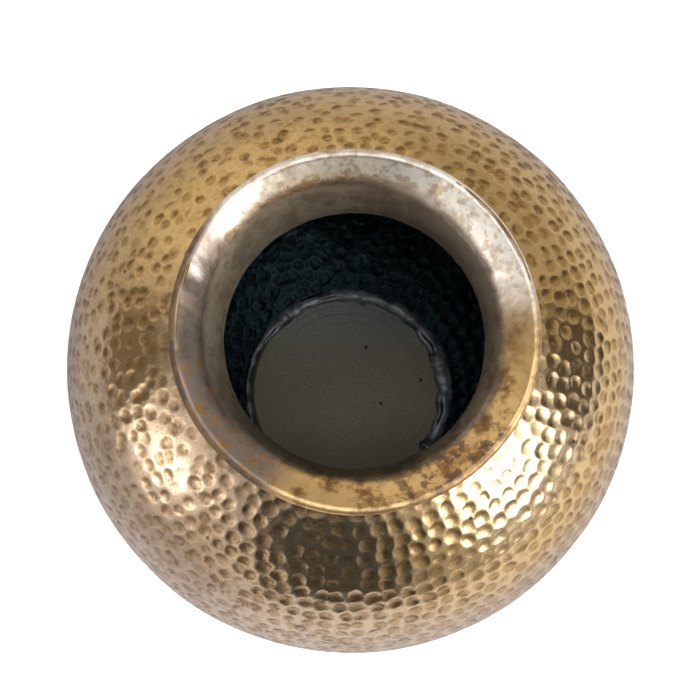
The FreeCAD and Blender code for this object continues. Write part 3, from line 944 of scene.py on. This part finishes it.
def pale_floor():
    """A pale round table top, so that the belly's lower part mirrors it and the upper part the room."""
    radius = 0.95
    corners = 96
    turns = [k * TURN / corners for k in range(corners)]
    ring = [(radius * math.cos(turn), radius * math.sin(turn), 0) for turn in turns]
    mesh = bpy.data.meshes.new("table_top")
    mesh.from_pydata(ring, [], [list(range(corners))])
    r = Recipe("table_top")
    rays = r.tree.nodes.new("ShaderNodeLightPath")
    r.link(r.times(rays.outputs["Is Camera Ray"], 0.95), r.shader.inputs["Emission Strength"])
    r.shader.inputs["Emission Color"].default_value = (1, 1, 1, 1)
    lit = r.direction(-50, 150)
    tone = r.mix(lit, (0.44, 0.425, 0.44), (0.88, 0.86, 0.88))
    tone = r.mix(r.noise(4, 2), tone, (0.62, 0.60, 0.63))
    mesh.materials.append(r.finish(tone, 0.7, 0.0))
    floor = bpy.data.objects.new("table_top", mesh)
    scene.collection.objects.link(floor)


def toward(azimuth, elevation):
    """Unit vector to a direction, azimuth from +X towards +Y, in degrees."""
    a, e = math.radians(azimuth), math.radians(elevation)
    return Vector((math.cos(a) * math.cos(e), math.sin(a) * math.cos(e), math.sin(e)))


pot_middle = Vector((0, 0, EQUATOR_HEIGHT))
WINDOW_DISTANCE = 2.2


def window(name, azimuth, elevation, size, radiance, color):
    """An area light that faces the pot, as a window or a softbox."""
    light = bpy.data.lights.new(name, "AREA")
    light.shape = "RECTANGLE"
    light.size, light.size_y = size
    light.energy = radiance * math.pi * size[0] * size[1]
    light.color = color
    lamp = bpy.data.objects.new(name, light)
    direction = toward(azimuth, elevation)
    lamp.location = pot_middle + direction * WINDOW_DISTANCE
    lamp.rotation_euler = direction.to_track_quat("Z", "Y").to_euler()
    lamp.visible_camera = False
    scene.collection.objects.link(lamp)


class Room:
    """The room that the brass mirrors, as colours laid over each other by direction."""

    def __init__(self):
        self.world = bpy.data.worlds.new("room")
        self.world.use_nodes = True
        self.tree = self.world.node_tree
        self.place = self.tree.nodes.new("ShaderNodeTexCoord").outputs["Generated"]
        split = self.tree.nodes.new("ShaderNodeSeparateXYZ")
        self.tree.links.new(self.place, split.inputs[0])
        self.up = split.outputs["Z"]
        flat = self.vector("MULTIPLY", self.place, (1, 1, 0))
        self.level = self.vector("NORMALIZE", flat)
        self.color = None

    def vector(self, operation, first, second=None):
        node = self.tree.nodes.new("ShaderNodeVectorMath")
        node.operation = operation
        self.tree.links.new(first, node.inputs[0])
        if second is not None:
            node.inputs[1].default_value = second
        return node.outputs["Value" if operation == "DOT_PRODUCT" else "Vector"]

    def step(self, value, low, high):
        node = self.tree.nodes.new("ShaderNodeMapRange")
        node.interpolation_type = "SMOOTHSTEP"
        self.tree.links.new(value, node.inputs["Value"])
        node.inputs["From Min"].default_value = low
        node.inputs["From Max"].default_value = high
        return node.outputs["Result"]

    def times(self, first, second):
        node = self.tree.nodes.new("ShaderNodeMath")
        node.operation = "MULTIPLY"
        self.tree.links.new(first, node.inputs[0])
        self.tree.links.new(second, node.inputs[1])
        return node.outputs[0]

    def spot(self, azimuth, elevation, inner, outer):
        """1 within inner degrees of a direction, falling to 0 at outer degrees."""
        dot = self.vector("DOT_PRODUCT", self.place, toward(azimuth, elevation))
        return self.step(dot, math.cos(math.radians(outer)), math.cos(math.radians(inner)))

    def panel(self, azimuth, half_width, bottom, top, soft):
        """1 in an upright panel of the room, with edges that are soft degrees wide."""
        dot = self.vector("DOT_PRODUCT", self.level, toward(azimuth, 0))
        wide = self.step(dot, math.cos(math.radians(half_width + soft)), math.cos(math.radians(half_width)))
        sines = [math.sin(math.radians(e)) for e in (bottom - soft, bottom, top, top + soft)]
        above = self.step(self.up, sines[0], sines[1])
        below = self.step(self.up, sines[3], sines[2])
        return self.times(wide, self.times(above, below))

    def lay(self, share, color):
        """Lays a colour over the room where share is 1."""
        mix = self.tree.nodes.new("ShaderNodeMix")
        mix.data_type = "RGBA"
        self.tree.links.new(share, mix.inputs["Factor"])
        if isinstance(self.color, bpy.types.NodeSocket):
            self.tree.links.new(self.color, mix.inputs[6])
        else:
            mix.inputs[6].default_value = (*self.color, 1)
        mix.inputs[7].default_value = (*color, 1)
        self.color = mix.outputs[2]

    def finish(self):
        self.tree.links.new(self.color, self.tree.nodes["Background"].inputs["Color"])
        scene.world = self.world


def warm_room():
    """Warm middle grey, darker behind the viewer and at the right, glowing round the windows."""
    room = Room()
    room.color = (0.41, 0.37, 0.33)
    for share, color in (
        (room.spot(125, 16, 12, 48), (0.66, 0.59, 0.52)),
        (room.spot(45, 55, 10, 28), (0.95, 0.90, 0.84)),
        (room.spot(0, 90, 8, 32), (1.5, 1.55, 1.65)),
        (room.panel(-55, 16, -12, 40, 8), (0.36, 0.33, 0.28)),
        (room.spot(-24, 28, 13, 26), (1.6, 1.53, 1.42)),
        (room.spot(-146, 14, 11, 31), (1.3, 1.2, 1.12)),
        (room.panel(-91, 20, -8, 43, 6), (0.055, 0.055, 0.05)),
        (room.panel(-124, 14, -14, 6, 7), (0.85, 0.76, 0.66)),
        (room.panel(11, 12, -14, 18, 6), (0.08, 0.065, 0.05)),
        (room.panel(-178, 11, -8, 20, 6), (0.18, 0.14, 0.09)),
    ):
        room.lay(share, color)
    rays = room.tree.nodes.new("ShaderNodeLightPath")
    room.lay(rays.outputs["Is Camera Ray"], (0.9, 0.9, 0.9))
    room.finish()


def photo_camera():
    """Almost straight down into the mouth, leaning a little so that the rim stands up and to the right."""
    distance = 0.85
    elevation, roll = math.radians(82.17), math.radians(7.24)
    lens, sensor = 97.9, 36.0
    aside, above = -1.34 * MM, 8.69 * MM
    back = Vector((0, -math.cos(elevation), math.sin(elevation)))
    right = Vector((1, 0, 0))
    up = back.cross(right)
    spot = pot_middle + back * distance + right * aside + up * above
    rolled_right = right * math.cos(roll) + up * math.sin(roll)
    rolled_up = up * math.cos(roll) - right * math.sin(roll)
    data = bpy.data.cameras.new("photo_camera")
    data.lens = lens
    data.sensor_width = sensor
    data.clip_start = 0.01
    camera = bpy.data.objects.new("photo_camera", data)
    axes = Matrix((rolled_right, rolled_up, back)).transposed()
    camera.matrix_world = Matrix.Translation(spot) @ axes.to_4x4()
    scene.collection.objects.link(camera)
    scene.camera = camera


pale_floor()
warm_room()
window("window_right", -27, 30, (0.75, 1.05), 6.0, (1.0, 0.97, 0.93))
window("window_left", -145, 15, (0.6, 0.22), 6.0, (1.0, 0.96, 0.94))
window("window_high", -50, 64, (0.55, 0.55), 6.5, (0.95, 0.98, 1.0))
photo_camera()
